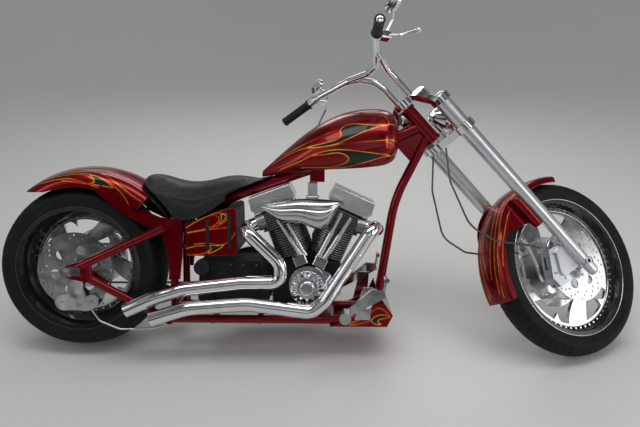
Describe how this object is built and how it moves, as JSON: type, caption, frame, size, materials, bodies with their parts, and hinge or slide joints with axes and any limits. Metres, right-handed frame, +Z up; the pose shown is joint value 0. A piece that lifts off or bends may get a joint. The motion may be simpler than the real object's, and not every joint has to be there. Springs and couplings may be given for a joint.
{
  "type": "cruiser motorcycle",
  "caption": "Long raked cruiser motorcycle with a V-twin engine, teardrop tank, fat rear tyre and pinstriped flames, parked on its side stand.",
  "frame": {"origin": "centre of the bounding box on the floor", "axes": "+X forward along the bike, +Y to the bike's left, +Z up; the bike leans left on its side stand with the steering on its left stop"},
  "size_m": [2.5607, 0.8194, 1.3601],
  "materials": {
    "frame_paint": "deep candy red gloss paint",
    "body_paint": "candy red gloss paint with pinstriped flames",
    "leather": "smooth black leather",
    "black_engine": "black fins with bright machined edges",
    "case_alloy": "satin cast alloy",
    "chrome": "bright chrome plate",
    "polished_alloy": "polished alloy",
    "brake_steel": "brushed drilled steel",
    "rim_black": "gloss black",
    "tyre": "black tyre rubber",
    "rubber": "matt black rubber",
    "grip": "black rubber and chrome grip",
    "lens": "red lens"
  },
  "bodies": {
    "frame": {"frame_tubes": "frame_paint", "swingarm": "frame_paint", "rear_fender": "body_paint", "seat": "leather", "fuel_tank": "body_paint", "oil_tank": "body_paint", "crankcase": "case_alloy", "cylinders": "black_engine", "rocker_boxes": "chrome", "pushrods": "chrome", "cam_cover": "chrome", "air_cleaner": "chrome", "carburettor": "case_alloy", "primary_cover": "chrome", "gearbox": "case_alloy", "exhaust_rear": "chrome", "exhaust_front": "chrome", "rear_axle": "chrome", "rear_caliper": "chrome", "rear_brake_line": "brake_steel", "drive_belt": "rubber", "control_right": "chrome", "control_left": "chrome", "tail_lamp": "lens", "chin_spoiler": "body_paint"},
    "rear_wheel": {"rear_tyre": "tyre", "rear_rim": "rim_black", "rear_wheel_centre": "polished_alloy", "rear_rotor": "brake_steel", "rear_pulley": "polished_alloy"},
    "fork": {"fork_legs": "polished_alloy", "fork_clamps": "chrome", "handlebar": "chrome", "grips": "grip", "hand_controls": "chrome", "mirrors": "chrome", "headlight": "chrome", "front_fender": "body_paint", "front_calipers": "polished_alloy", "front_hoses": "brake_steel"},
    "front_wheel": {"front_tyre": "tyre", "front_rim": "rim_black", "front_wheel_centre": "polished_alloy", "front_rotors": "brake_steel"},
    "side_stand": {"side_stand": "chrome"}
  },
  "joints": [
    {"name": "rear_wheel_spin", "type": "hinge", "parent": "frame", "child": "rear_wheel", "pos_m": [-0.95846, -0.06295, 0.31887], "axis": [0, 0.9659, -0.2588], "continuous": true},
    {"name": "steering", "type": "hinge", "parent": "frame", "child": "fork", "pos_m": [0.92497, -0.07382, 0.27831], "axis": [-0.682, 0.1893, 0.7064], "range_deg": [-70, 0]},
    {"name": "front_wheel_spin", "type": "hinge", "parent": "fork", "child": "front_wheel", "pos_m": [0.95493, -0.03889, 0.29787], "axis": [-0.4195, 0.69, -0.5899], "continuous": true},
    {"name": "side_stand_fold", "type": "hinge", "parent": "frame", "child": "side_stand", "pos_m": [-0.05846, 0.03506, 0.08402], "axis": [0.0042, 0.2926, 0.9562], "range_deg": [0, 100]}
  ]
}
